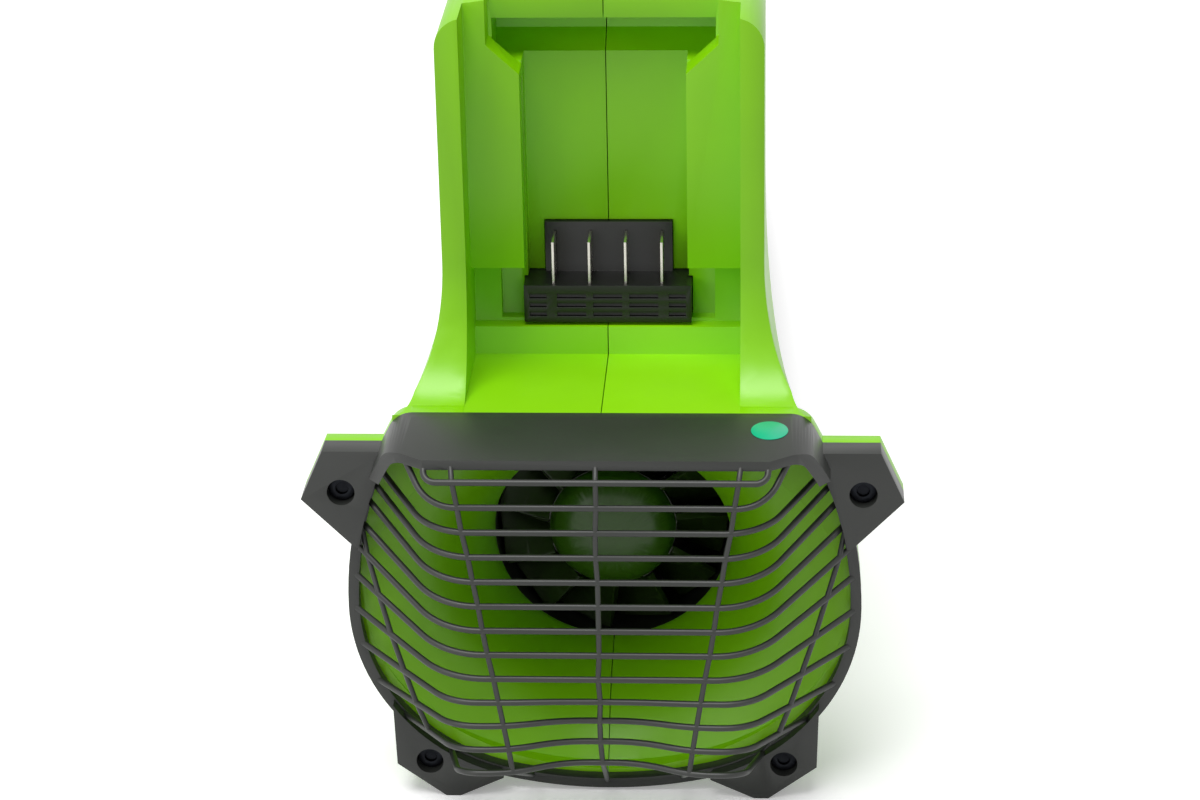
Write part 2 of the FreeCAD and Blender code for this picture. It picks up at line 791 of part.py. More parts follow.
def handle_section(centre, direction, half_width, half_height):
    """A rounded cross-section of the handle, square to its run."""
    points = []
    steps = 20
    side = direction.cross(X_AXIS).normalize() * -1
    for step in range(steps):
        angle = 2 * math.pi * step / steps
        reach = (abs(math.cos(angle) / half_width) ** 2.6
                 + abs(math.sin(angle) / half_height) ** 2.6) ** (-1 / 2.6)
        points.append(centre + X_AXIS * (reach * math.cos(angle))
                      + side * (reach * math.sin(angle)))
    curve = Part.BSplineCurve()
    curve.interpolate(points, PeriodicFlag=True)
    return Part.Wire(curve.toShape())


def handle_solid(inset):
    """The handle's loop: the grip, its front bend and the strut down to the barrel."""
    slope = math.radians(size("top_slope"))
    length = size("grip_front - grip_rear") / math.cos(slope)
    start = Vector(*grip_spot(-14.0))
    corner = Vector(*grip_spot(length + 4))
    foot = Vector(0, corner.y + size("strut_lean"), size("barrel_end_radius") - 8)
    back = (start - corner).normalize()
    down = (foot - corner).normalize()
    bend = size("strut_bend")
    half_turn = (math.pi - back.getAngle(down)) / 2
    reach = bend * math.tan(half_turn)
    bisector = (back + down).normalize()
    centre = corner + bisector * math.hypot(reach, bend)
    edges = [Part.makeLine(start, corner + back * reach),
             Part.Arc(corner + back * reach, centre - bisector * bend,
                      corner + down * reach).toShape(),
             Part.makeLine(corner + down * reach, foot)]
    ring = handle_section(start, back * -1, size("grip_half_width") - inset,
                          size("grip_half_height") - inset)
    return Part.Wire(edges).makePipeShell([ring], True, False)


def sleeve_zone(gap=0.0):
    """The stretch of the grip that the soft sleeve covers, less a gap at each end."""
    start = size("sleeve_start") + gap
    end = size("sleeve_end") - gap
    reach = 60.0
    zone = block((-reach, start, -reach), (reach, end, reach))
    zone.Placement = grip_placement()
    return zone


def grip_room():
    """The hollow in the grip for the switch, the trigger, the button and the lever's shaft."""
    wall = 3.2
    wide = size("grip_half_width - grip_sleeve") - wall
    tall = size("grip_half_height - grip_sleeve") - wall
    room = block((-wide, -12, -tall), (wide, size("trigger_place") + 11, tall))
    half = size("trigger_half_width") + 0.5
    reach = size("grip_half_height") + 5
    place_along = size("trigger_place")
    slot = block((-half, place_along - size("trigger_length") - 1.5, -reach),
                 (half, place_along + 4.5, 0))
    hole = rod((0, size("turbo_place"), 0), (0, size("turbo_place"), reach),
               size("turbo_radius + fit_gap"))
    pin = rod((-40, place_along, -tall + 5), (40, place_along, -tall + 5),
              size("pin_radius + running_gap"))
    cuts = []
    for shape in (room, slot, hole, pin):
        shape.Placement = grip_placement().multiply(shape.Placement)
        cuts.append(shape)
    return cuts


def housing_screw_spots():
    """Where screws cross the parting plane, as (Y, Z)."""
    top_corner = grip_spot(size("grip_front - grip_rear") + 8, -6)
    return [(size("throat_start") + 8, size("barrel_radius") + 6),
            (size("column_front") - 6, size("barrel_radius") + 2),
            (size("latch_depth") + 8, size("room_top") + 7),
            (top_corner[1], top_corner[2]),
            (size("barrel_taper_start") + 8, -size("spigot_radius") - 5),
            (size("barrel_taper_start") + 8, size("spigot_radius") + 5)]


def half_outside():
    """The outside of the right-hand shell, with no hollows yet."""
    side = half_space()
    handle = handle_solid(0.0).cut(sleeve_zone())
    sleeved = handle_solid(size("grip_sleeve")).common(sleeve_zone())
    shapes = [column_solid(), ring_prism(0.0, 0, size("flange_thickness"))]
    shapes += barrel_solid() + handle.Solids + [sleeved]
    shapes += lug_plates(0, size("flange_thickness"))
    for _, (x, z) in lug_outlines():
        shapes.append(rod((x, 0, z), (x, size("boss_length"), z), size("boss_radius")))
    lock = size("lock_half_width")
    shapes.append(block((-lock, size("lock_place"), size("spigot_radius") - 2),
                        (lock, size("lock_place + lock_length"),
                         size("spigot_radius + lock_height"))))
    halves = [shape.common(side) for shape in shapes]
    outside = halves[0]
    for half in halves[1:]:
        if half.Solids:
            outside = outside.fuse(half)
    return outside


def wire_ways():
    """Passages for the leads: bay to room, room to motor and room to grip."""
    half = size("tab_room_half")
    lead_y = size("lead_hole_place")
    return [block((-half, size("tab_front") - 1, size("tab_end") - 2),
                  (half, size("room_rear") + 1, size("bay_floor + bay_step_height") - 2)),
            rod((0, lead_y, size("throat_radius")), (0, lead_y, size("room_bottom") + 1),
                size("conduit_radius"))]


def make_housing():
    """Two shells that meet at the parting plane and hold everything else."""
    room = block((-size("room_half_width"), size("room_rear"), size("room_bottom")),
                 (size("room_half_width"), size("room_front"), size("room_top")))
    cuts = bay_cut() + duct_cut() + [room] + grip_room() + wire_ways()
    for _, (x, z) in lug_outlines():
        cuts.append(rod((x, -1, z), (x, size("boss_length") - 1.5, z),
                        size("screw_radius + running_gap")))
    outside = half_outside()
    shell = outside
    for cut in cuts:
        shell = shell.cut(cut)
    radius = size("house_boss_radius")
    for y, z in housing_screw_spots():
        tube = rod((0, y, z), (30, y, z), radius).common(outside)
        shell = shell.fuse(tube)
    left = shell.mirror(Vector(0, 0, 0), X_AXIS)
    bore = size("house_screw_radius + running_gap")
    reach = size("house_screw_reach")
    seat = size("house_screw_seat")
    for y, z in housing_screw_spots():
        left = left.cut(rod((1 - reach, y, z), (5, y, z), bore))
        shell = shell.cut(rod((-5, y, z), (seat + 1, y, z), bore))
        shell = shell.cut(rod((seat, y, z), (90, y, z), size("house_head_radius + fit_gap")))
    shaft = rod((0, size("lever_place"), 0), (40, size("lever_place"), 0),
                size("pin_radius") + 1.0 + size("running_gap"))
    shaft.Placement = grip_placement()
    shell = shell.cut(shaft)
    for label, side in (("housing_left", left), ("housing_right", shell)):
        biggest = max(side.Solids, key=lambda solid: solid.Volume)
        feature(label, biggest)


def make_housing_screws():
    """The screws that draw the two shells together."""
    screws = []
    for y, z in housing_screw_spots():
        seat = size("house_screw_seat")
        head = rod((seat, y, z), (seat + size("house_head_height"), y, z),
                   size("house_head_radius"))
        shank = rod((-size("house_screw_reach") + 2, y, z), (seat, y, z),
                    size("house_screw_radius"))
        socket = rod((seat + 1.2, y, z), (seat + 10, y, z), 1.7)
        screws.append(head.fuse(shank).cut(socket).removeSplitter())
    return feature("housing_screws", Part.makeCompound(screws))


# ---------------------------------------------------------------- terminal block and blades

def blade_spots():
    """The four blades' places across the bay."""
    return [(index - 1.5) * size("blade_pitch") for index in range(4)]


def make_terminal_block():
    """The moulded block on the bay's step, with louvred windows and slots for its blades."""
    base = size("bay_floor + bay_step_height + 0.1")
    top = base + size("block_height - 0.1")
    half = size("block_half_width")
    face = size("block_face")
    back = size("block_back")
    body = block((-half, face, base), (half, back, top))
    plate = size("block_plate_half")
    body = body.fuse(block((-plate, back - size("block_plate_thickness"), base),
                           (plate, back, size("block_plate_top"))))
    window_half = 4.4
    for column in range(5):
        middle = (column - 2) * size("blade_pitch")
        narrow = 2.6 if column in (0, 4) else window_half
        middle += {0: 0.8, 4: -0.8}.get(column, 0.0)
        for level in range(3):
            low = base + 1.9 + level * 2.9
            body = body.cut(block((middle - narrow, face - 1, low),
                                  (middle + narrow, face + 1.3, low + 1.7)))
    gap = size("running_gap")
    thick = size("blade_thickness") / 2 + gap
    front = size("blade_front")
    for x in blade_spots():
        body = body.cut(block((x - thick, front - gap, base - 1),
                              (x + thick, front + size("blade_depth") + gap, top + 1)))
    return feature("terminal_block", body.removeSplitter())


def make_terminal_blades():
    """Four flat blades with narrower tabs for the leads below."""
    base = size("bay_floor + bay_step_height + 0.1")
    top = base + size("block_height - 0.1")
    front = size("blade_front")
    thick = size("blade_thickness") / 2
    blades = []
    for x in blade_spots():
        upper = block((x - thick, front, base), (x + thick, front + size("blade_depth"),
                                                 top + size("blade_rise")))
        tab = block((x - thick, size("tab_front"), size("tab_end")),
                    (x + thick, size("tab_back"), base))
        blades.append(upper.fuse(tab).removeSplitter())
    return feature("terminal_blades", Part.makeCompound(blades))


# ---------------------------------------------------------------- grip and its controls

def in_grip(shape):
    """Moves a shape from the grip's own frame to the modelling frame."""
    return shape.transformed(grip_placement().toMatrix(), True)


def trigger_pin_height():
    """How far the trigger's pin lies below the middle of the grip."""
    return -(size("grip_half_height - grip_sleeve") - 3.2) + 5.0


def make_grip_sleeve():
    """The soft sleeve round the grip, open where the trigger and the lever pass."""
    sleeve = handle_solid(0.0).common(sleeve_zone(size("fit_gap")))
    sleeve = sleeve.cut(handle_solid(size("grip_sleeve - fit_gap")))
    for cut in grip_room():
        sleeve = sleeve.cut(cut)
    shaft = in_grip(rod((0, size("lever_place"), 0), (40, size("lever_place"), 0),
                        size("pin_radius") + 1.3))
    return feature("grip_sleeve", sleeve.cut(shaft).Solids[0])


def make_trigger():
    """The finger trigger, hung on a pin near the front of the grip."""
    half = size("trigger_half_width")
    place_along = size("trigger_place")
    pin_up = trigger_pin_height()
    low = -(size("grip_half_height") + size("trigger_reach"))
    length = size("trigger_length")
    outline = [(4.0, pin_up + 2.0), (4.0, pin_up - 4.0), (-1.5, -20.0), (-7.0, low + 2.5),
               (-14.0, low), (-20.0, low + 1.0), (3.0 - length, low + 5.5), (-length, -15.0),
               (-length, pin_up + 2.0)]
    points = [(-half, place_along + along, up) for along, up in outline]
    body = polygon_prism(points, Vector(2 * half, 0, 0))
    body = body.cut(rod((-20, place_along, pin_up), (20, place_along, pin_up),
                        size("pin_radius + running_gap")))
    feature("trigger", in_grip(body))
    reach = size("grip_half_width - grip_sleeve") - 0.8
    feature("trigger_pin", in_grip(rod((-reach, place_along, pin_up),
                                       (reach, place_along, pin_up), size("pin_radius"))))


def make_trigger_spring():
    """A torsion spring on the trigger's pin, beside the trigger."""
    wire = 0.35
    radius = 2.3
    start = size("trigger_half_width") + 0.8
    turns = 3
    pitch = 0.8
    helix = Part.makeHelix(pitch, turns * pitch, radius)
    ring = Part.Wire(Part.makeCircle(wire, Vector(radius, 0, 0), Y_AXIS))
    coil = Part.Wire(helix).makePipeShell([ring], True, True)
    legs = [rod((radius, 0, 0), (radius, -9, 0), wire),
            rod((radius, 0, turns * pitch), (radius, 9, turns * pitch), wire)]
    spring = coil.fuse(legs)
    spring = spring.removeSplitter()
    turn = FreeCAD.Rotation(Y_AXIS, 90)
    local = FreeCAD.Placement(Vector(start, size("trigger_place"), trigger_pin_height()), turn)
    spring = spring.Solids[0].transformed(local.toMatrix(), True)
    return feature("trigger_spring", in_grip(spring))


def make_trigger_switch():
    """The switch over the trigger and the plunger that the trigger pushes."""
    middle = size("trigger_place") - 19.0
    half_long = size("switch_length") / 2 - 1
    half_wide = size("switch_width") / 2
    base = -1.0
    top = base + size("switch_height")
    plunger = size("plunger_radius")
    foot = trigger_pin_height() + 2.0 + size("fit_gap")
    body = block((-half_wide, middle - half_long, base), (half_wide, middle + half_long, top))
    body = body.cut(rod((0, middle, base - 1), (0, middle, top - 1.5),
                        plunger + size("running_gap")))
    feet = [block((-half_wide - 5.9, middle - 3, base + 2), (half_wide + 5.9, middle + 3, base + 4))]
    feature("trigger_switch", in_grip(body.fuse(feet).cut(
        rod((0, middle, base - 1), (0, middle, top - 1.5), plunger + size("running_gap")))))
    feature("switch_plunger", in_grip(rod((0, middle, foot), (0, middle, foot + 9.5), plunger)))


def make_turbo_button():
    """The thumb button on top of the grip, and the small board under it."""
    along = size("turbo_place")
    ceiling = size("grip_half_height - grip_sleeve") - 3.2 - size("fit_gap")
    radius = size("turbo_radius")
    cap = rod((0, along, ceiling - 1.5), (0, along, size("grip_half_height") + 1.8), radius)
    collar = rod((0, along, ceiling - 1.5), (0, along, ceiling), radius + 1.6)
    board_top = 2.6
    stem_foot = board_top + 2.4 + size("turbo_travel + fit_gap")
    stem = rod((0, along, stem_foot), (0, along, ceiling), 1.8)
    feature("turbo_button", in_grip(cap.fuse([collar, stem]).removeSplitter()))
    half = size("grip_half_width - grip_sleeve") - 3.2 - size("fit_gap")
    board = block((-half, along - 9, board_top - 1.6), (half, along + 9, board_top))
    switch = block((-2, along - 2, board_top), (2, along + 2, board_top + 2.4))
    feature("button_board", in_grip(board.fuse(switch).removeSplitter()))
    wire = 0.35
    turns = 4.5
    low = board_top + 2 * wire
    high = ceiling - 1.5 - 2 * wire
    helix = Part.makeHelix((high - low) / turns, high - low, 4.0)
    ring = Part.Wire(Part.makeCircle(wire, Vector(4.0, 0, 0), Y_AXIS))
    coil = Part.Wire(helix).makePipeShell([ring], True, True)
    coil = coil.transformed(FreeCAD.Placement(Vector(0, along, low),
                                              FreeCAD.Rotation()).toMatrix(), True)
    feature("button_spring", in_grip(coil))


def make_cruise_lever():
    """The speed-hold lever on the grip's right side, and the sensor that its shaft turns."""
    along = size("lever_place")
    side = size("grip_half_width") + size("fit_gap")
    thick = size("lever_thickness")
    shaft_radius = size("pin_radius") + 1.0
    disc = rod((side, along, 0), (side + thick, along, 0), size("lever_radius"))
    arm_half = size("lever_radius") - 3.0
    arm = polygon_prism([(side, along, -size("lever_radius") + 0.3),
                         (side, along + size("lever_length"), -arm_half + 1),
                         (side, along + size("lever_length"), arm_half - 1),
                         (side, along, size("lever_radius") - 0.3)], Vector(thick, 0, 0))
    shaft = rod((5.5, along, 0), (side + 1, along, 0), shaft_radius)
    feature("cruise_lever", in_grip(disc.fuse([arm, shaft]).removeSplitter()))
    wall = size("grip_half_width - grip_sleeve") - 3.2 - size("fit_gap")
    sensor = block((3.5, along - 6, -6), (wall, along + 6, 6))
    sensor = sensor.cut(rod((5.2, along, 0), (wall + 5, along, 0),
                            shaft_radius + size("running_gap")))
    feature("speed_sensor", in_grip(sensor))


# ---------------------------------------------------------------- fan and motor

def make_impeller():
    """The fan: a cup-shaped hub and eleven twisted blades."""
    back = size("hub_back")
    radius = size("hub_radius")
    web = size("shaft_front") + 5.0
    hub = rod((0, size("shaft_front") + 1, 0), (0, back, 0), radius)
    hub = hub.cut(rod((0, size("shaft_front"), 0), (0, web, 0), radius - 2.0))
    hub = hub.cut(rod((0, web + 3.0, 0), (0, back + 1, 0), radius - 2.0))
    hub = hub.fuse(rod((0, web, 0), (0, back - 1.5, 0), 6.0))
    tip = size("throat_radius - fan_tip_gap")
    middle = size("(fan_front + fan_back) / 2")
    blades = []
    for index in range(int(size("blade_count"))):
        rings = []
        for reach, chord, pitch, thick in ((radius - 1.2, 19.0, 44.0, 2.2),
                                           ((radius + tip) / 2, 20.0, 54.0, 1.8),
                                           (tip - 0.6, 20.5, 62.0, 1.4)):
            turn = math.radians(pitch)
            along = Vector(math.sin(turn), math.cos(turn), 0) * (chord / 2)
            across = Vector(math.cos(turn), -math.sin(turn), 0) * (thick / 2)
            centre = Vector(0, middle, reach)
            corners = [centre + along + across * 0.5, centre + across, centre - along + across,
                       centre - along - across, centre - across, centre + along - across * 0.5]
            rings.append(Part.makePolygon(corners + corners[:1]))
        blade = Part.makeLoft(rings, True, True)
        blade.rotate(Vector(0, 0, 0), Y_AXIS, 360.0 * index / size("blade_count"))
        blades.append(blade)
    fan = hub
    for blade in blades:
        fan = fan.fuse(blade)
    limit = rod((0, size("fan_front") - 8, 0), (0, back + 2, 0), tip)
    fan = fan.common(limit)
    fan = fan.cut(rod((0, size("hub_nose"), 0), (0, size("shaft_front") + 1, 0),
                      radius + size("fit_gap")))
    fan = fan.cut(rod((0, 0, 0), (0, back + 2, 0), size("shaft_radius + running_gap")))
    return feature("impeller", fan.Solids[0])


def make_fan_nut():
    """The hexagonal nut that clamps the fan on its shaft."""
    radius = size("nut_width") / 2 / math.cos(math.radians(30))
    start = size("shaft_front") + 1.0
    corners = []
    for index in range(6):
        angle = math.radians(60 * index)
        corners.append((radius * math.cos(angle), start, radius * math.sin(angle)))
    nut = polygon_prism(corners, Vector(0, size("nut_thickness"), 0))
    bore = rod((0, start - 1, 0), (0, start + 10, 0), size("shaft_radius + running_gap"))
    return feature("fan_nut", nut.cut(bore))


def make_turned_pieces():
    """Everything of the fan and motor that a lathe could make."""
    turned("spinner", [("hub_nose", "0"), ("hub_nose + 0.6", "hub_radius * 0.36"),
                       ("hub_nose + 2.4", "hub_radius * 0.68"),
                       ("hub_nose + 5.4", "hub_radius * 0.9"),
                       ("shaft_front + 0.7", "hub_radius"), ("shaft_front + 0.7", "hub_radius - 2"),
                       ("hub_nose + 6.6", "hub_radius * 0.76"),
                       ("hub_nose + 4", "hub_radius * 0.5"), ("hub_nose + 2.4", "0")])
    turned("motor_shaft", [("shaft_front", "0"), ("shaft_front", "shaft_radius"),
                           ("shaft_back - 4", "shaft_radius"), ("shaft_back - 4", "0")])
    turned("rotor_magnet", [("rotor_start", "shaft_radius + running_gap"),
                            ("rotor_start", "rotor_radius"), ("rotor_end", "rotor_radius"),
                            ("rotor_end", "shaft_radius + running_gap")])
    turned("stator_core", [("stator_start", "stator_inner"),
                           ("stator_start", "motor_radius - motor_wall - 0.1"),
                           ("stator_end", "motor_radius - motor_wall - 0.1"),
                           ("stator_end", "stator_inner")])
    turned("motor_can", [("motor_start", "shaft_radius + 1.5"), ("motor_start", "motor_radius"),
                         ("end_cap_start - 0.3", "motor_radius"),
                         ("end_cap_start - 0.3", "motor_radius - motor_wall"),
                         ("motor_start + 3", "motor_radius - motor_wall"),
                         ("motor_start + 3", "bearing_radius + 2"),
                         ("motor_start + 2 + bearing_width", "bearing_radius + 2"),
                         ("motor_start + 2 + bearing_width", "bearing_radius + 0.02"),
                         ("motor_start + 2", "bearing_radius + 0.02"),
                         ("motor_start + 2", "shaft_radius + 1.5")])
    turned("motor_end_cap", [("end_cap_start", "bearing_radius + 2"),
                             ("end_cap_start", "motor_radius"), ("motor_end", "motor_radius"),
                             ("motor_end", "shaft_radius + 1.5"),
                             ("motor_end - 1.5", "shaft_radius + 1.5"),
                             ("motor_end - 1.5", "bearing_radius + 0.02"),
                             ("motor_end - 1.5 - bearing_width", "bearing_radius + 0.02"),
                             ("motor_end - 1.5 - bearing_width", "bearing_radius + 2")])
    for label, start in (("front_bearing", "motor_start + 2"),
                         ("rear_bearing", "motor_end - 1.5 - bearing_width")):
        turned(label, [(start, "shaft_radius + running_gap"), (start, "bearing_radius"),
                       (start + " + bearing_width", "bearing_radius"),
                       (start + " + bearing_width", "shaft_radius + running_gap")])
    turned("tail_cone", [("motor_end - 0.7", "motor_radius + 0.4"),
                         ("motor_end - 0.7", "motor_radius + 0.1 + pod_wall"),
                         ("motor_end + cone_length * 0.3", "motor_radius - 0.6"),
                         ("motor_end + cone_length * 0.65", "motor_radius * 0.62"),
                         ("motor_end + cone_length", "cone_tip_radius"),
                         ("motor_end + cone_length", "0"),
                         ("motor_end + cone_length - cone_wall", "0"),
                         ("motor_end + cone_length - cone_wall", "cone_tip_radius - 1.5"),
                         ("motor_end + cone_length * 0.6", "motor_radius * 0.62 - cone_wall"),
                         ("motor_end + cone_length * 0.25", "motor_radius - 0.6 - cone_wall")])


def make_windings():
    """The two rings of winding ends that stand out of the stator."""
    rings = []
    outer = size("motor_radius - motor_wall") - 0.6
    for low, high in ((size("stator_start - winding_reach"), size("stator_start")),
                      (size("stator_end"), size("stator_end + winding_reach"))):
        ring = rod((0, low, 0), (0, high, 0), outer)
        rings.append(ring.cut(rod((0, low - 1, 0), (0, high + 1, 0), size("stator_inner") + 1)))
    return feature("stator_windings", Part.makeCompound(rings))


def make_fan_duct():
    """The duct round the fan, its guide vanes and the pod that holds the motor."""
    start = size("throat_start") + 0.2
    end = size("duct_end")
    inner = size("throat_radius")
    outer = inner + size("duct_wall")
    duct = rod((0, start, 0), (0, end, 0), outer).cut(rod((0, start - 1, 0), (0, end + 1, 0),
                                                          inner))
    pod_inner = size("motor_radius") + 0.1
    pod_outer = pod_inner + size("pod_wall")
    front = size("motor_start") - 1.2
    back = size("motor_end") - 1.0
    pod = rod((0, front, 0), (0, back, 0), pod_outer)
    vanes = []
    depth = size("vane_end - vane_start")
    for index in range(int(size("vane_count"))):
        half = size("vane_thickness") / 2 if index else size("conduit_radius") + 1.6
        vane = block((-half, size("vane_start"), pod_inner + 1),
                     (half, size("vane_start") + depth, inner + 1))
        vane.rotate(Vector(0, 0, 0), Y_AXIS, 360.0 * index / size("vane_count"))
        vanes.append(vane)
    whole = duct
    for vane in vanes:
        whole = whole.fuse(vane)
    whole = whole.fuse(pod)
    whole = whole.cut(rod((0, size("motor_start") - 0.1, 0), (0, back + 1, 0), pod_inner))
    whole = whole.cut(rod((0, front - 1, 0), (0, back, 0), size("motor_radius") - 6.0))
    place_along = size("lead_hole_place")
    whole = whole.cut(rod((0, place_along, 5), (0, place_along, outer + 5),
                          size("conduit_radius")))
    return feature("fan_duct", whole.Solids[0])


# ---------------------------------------------------------------- nozzle

def nozzle_skin(inset):
    """The nozzle's outside, or its bore when inset by the wall: a socket and a drooping taper."""
    start = size("nozzle_start")
    socket_end = start + size("nozzle_socket")
    end = size("nozzle_end")
    base = size("spigot_radius + fit_gap + nozzle_wall") - inset
    tip = size("nozzle_tip_radius") - inset
    droop = size("axis_height - nozzle_tip_radius")
    spill = 1.0 if inset else 0.0
    socket = rod((0, start - spill, 0), (0, socket_end, 0), base)
    rings = []
    steps = 6
    for step in range(steps + 1):
        part = step / steps
        radius = base + (tip - base) * part
        centre = Vector(0, socket_end + (end - socket_end) * part, -droop * part ** 1.6)
        rings.append(Part.Wire(Part.makeCircle(radius, centre, Y_AXIS)))
    taper = Part.makeLoft(rings, True, False)
    if inset:
        lip = rod((0, end - 0.01, -droop), (0, end + 1, -droop), tip)
        return [socket, taper, lip]
    return [socket, taper]


def make_nozzle():
    """The nozzle that slides on the spigot, with a keyway for the spigot's raised lock."""
    socket, taper = nozzle_skin(0.0)
    body = socket.fuse(taper)
    for cut in nozzle_skin(size("nozzle_wall")):
        body = body.cut(cut)
    half = size("lock_half_width") + 0.7
    start = size("nozzle_start")
    keyway = block((-half, start - 1, 30),
                   (half, size("lock_place + lock_length") + 0.7, size("spigot_radius") + 10))
    return feature("nozzle", body.cut(keyway).Solids[0])


# ---------------------------------------------------------------- electronics and leads

def make_electronics():
    """The controller board in its room, with its heat sink and capacitors."""
    half = size("room_half_width - fit_gap")
    rear = size("board_rear")
    front = rear + size("board_thickness")
    board = block((-half, rear, size("board_bottom")), (half, front, size("board_top")))
    feature("controller_board", board)
    wide = size("sink_half_width")
    base = front + size("sink_base")
    tip = front + size("sink_depth")
    fins = int(size("sink_fins"))
    step = (2 * wide - size("fin_thickness")) / (fins - 1)
    points = [(-wide, front)]
    for index in range(fins):
        left = -wide + index * step
        right = left + size("fin_thickness")
        points += [(left, base), (left, tip), (right, tip), (right, base)]
    points.append((wide, front))
    points.pop(1)
    points.pop(-2)
    outline = [(x, y, size("sink_bottom")) for x, y in points]
    sink = polygon_prism(outline, Vector(0, 0, size("sink_top - sink_bottom")))
    feature("heat_sink", sink)
    caps = []
    for sign in (-1, 1):
        x = sign * size("cap_across")
        y = front + size("cap_radius")
        low = size("board_bottom") + 1
        caps.append(rod((x, y, low), (x, y, low + size("cap_height")), size("cap_radius")))
    feature("capacitors", Part.makeCompound(caps))


def make_leads():
    """The insulated leads: battery to board, board to motor, board to switch."""
    tab = size("tab_back + fit_gap")
    drop = size("tab_end") + 1.6
    rear = size("board_rear")
    wires = []
    for sign in (-1, 1):
        x = sign * blade_spots()[3]
        wires.append(tube_path([(x, tab, drop), (x * 0.9, rear - 6.5, drop),
                                (x * 0.75, rear - 2.2, drop + 8),
                                (x * 0.75, rear - 1.8, drop + 14)], 1.5))
    feature("battery_leads", Part.makeCompound(wires))
    front = rear + size("board_thickness")
    low = size("board_bottom")
    hole = size("lead_hole_place")
    pod = size("motor_radius") + 0.4
    wires = []
    for index in (-1, 0, 1):
        x = 2.6 * index
        wires.append(tube_path([(x, front + 1.3, low + 10), (x, hole, low - 2),
                                (x, hole, pod)], 1.0))
    feature("motor_leads", Part.makeCompound(wires))
    wires = []
    for index in (0, 1):
        x = -1.3 - 2.6 * index
        middle = size("trigger_place") - 19.0
        rear_face = middle - (size("switch_length") / 2 - 1)
        wires.append(tube_path([(x, front + 1.3, size("board_top") - 4),
                                (x, front + 5, size("board_top") + 1),
                                grip_spot(8, -6, x), grip_spot(rear_face - 14, -6, x),
                                grip_spot(rear_face - 6, 4, x),
                                grip_spot(rear_face - 0.4, 4, x)], 1.0))
    feature("grip_leads", Part.makeCompound(wires))


# ---------------------------------------------------------------- build and write

def check_and_write():
    """Refuses a document with a failed object, then writes one file per node."""
    doc.recompute()
    for item in doc.Objects:
        if "Invalid" in item.State or "Error" in item.State:
            raise RuntimeError("%s did not recompute: %s" % (item.Label, item.State))
    for piece in NODES:
        shape = piece.Shape
        if shape.isNull() or not shape.isValid() or not shape.Solids:
            raise RuntimeError("%s has no valid solid" % piece.Label)
    os.makedirs("parts", exist_ok=True)
    for piece in NODES:
        piece.Shape.exportStep("parts/%s.step" % piece.Label)
        print("%-18s %2d solids %9.0f mm3" % (piece.Label, len(piece.Shape.Solids),
                                             piece.Shape.Volume))


def main():
    """Builds every piece from the intake forwards."""
    make_intake_grille()
    make_grille_screws()
    make_housing()
    make_housing_screws()
    make_terminal_block()
    make_terminal_blades()
    make_grip_sleeve()
    make_trigger()
    make_trigger_spring()
    make_trigger_switch()
    make_turbo_button()
    make_cruise_lever()
    make_impeller()
    make_fan_nut()
    make_turned_pieces()
    make_windings()
    make_fan_duct()
    make_nozzle()
    make_electronics()
    make_leads()
    check_and_write()


main()
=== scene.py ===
"""Looks of a cordless leaf blower: green housing, dark intake grille, battery bay and nozzle.

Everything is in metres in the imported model's frame: X to the right seen from behind, Y forwards
along the air path, Z up, with the ground at Z = 0.
"""
import logging
import math
from dataclasses import dataclass
from enum import Enum

import bpy
from mathutils import Matrix, Vector


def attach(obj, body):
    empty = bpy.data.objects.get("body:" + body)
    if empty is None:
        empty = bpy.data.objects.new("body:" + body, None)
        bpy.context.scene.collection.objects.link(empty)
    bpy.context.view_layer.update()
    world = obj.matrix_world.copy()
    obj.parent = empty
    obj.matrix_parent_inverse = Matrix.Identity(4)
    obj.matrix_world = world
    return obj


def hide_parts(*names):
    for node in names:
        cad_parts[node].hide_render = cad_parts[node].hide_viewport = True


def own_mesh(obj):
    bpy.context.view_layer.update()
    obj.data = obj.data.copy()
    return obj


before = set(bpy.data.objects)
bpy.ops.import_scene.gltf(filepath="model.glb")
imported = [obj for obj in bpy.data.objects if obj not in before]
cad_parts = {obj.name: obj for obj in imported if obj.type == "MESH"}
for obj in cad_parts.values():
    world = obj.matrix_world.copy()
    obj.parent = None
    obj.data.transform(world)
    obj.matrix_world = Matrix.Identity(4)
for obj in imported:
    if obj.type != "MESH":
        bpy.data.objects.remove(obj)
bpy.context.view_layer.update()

LOG = logging.getLogger("leaf_blower")
MM = 0.001
BLOWER = "blower"

FACE_ALONG_MM = -262.5      # the face between grille and housing, along the model's Y
AXIS_UP_MM = 63.0           # the fan's axis above the ground

MERGE_M = 1e-6              # vertices nearer than this are one
FLAT_DEGREES = 0.3          # neighbouring faces that turn less than this are one
EDGE_DEGREES = 40.0         # edges sharper than this are rounded
EDGE_SEGMENTS = 2
SMOOTH_DEGREES = 35.0       # edges sharper than this stay sharp in the shading

MOTTLE_DETAIL = 3.0
MOTTLE_ROUGHNESS = 0.55
MOTTLE_DARK, MOTTLE_LIGHT = 0.3, 0.7    # noise values that take the shade and the base colour
GRAIN_DETAIL = 2.0
GRAIN_STRENGTH = 0.6


def spot(across: float, along: float, up: float) -> Vector:
    """Turns a place given from the grille's face and the fan's axis into the model's frame.

    Args:
        across: Millimetres to the right of the middle.
        along: Millimetres forwards of the face between grille and housing.
        up: Millimetres above the fan's axis.

    Returns:
        The place in metres.
    """
    return Vector((across, along + FACE_ALONG_MM, up + AXIS_UP_MM)) * MM


# ------------------------------------------------------------------ colour and material nodes

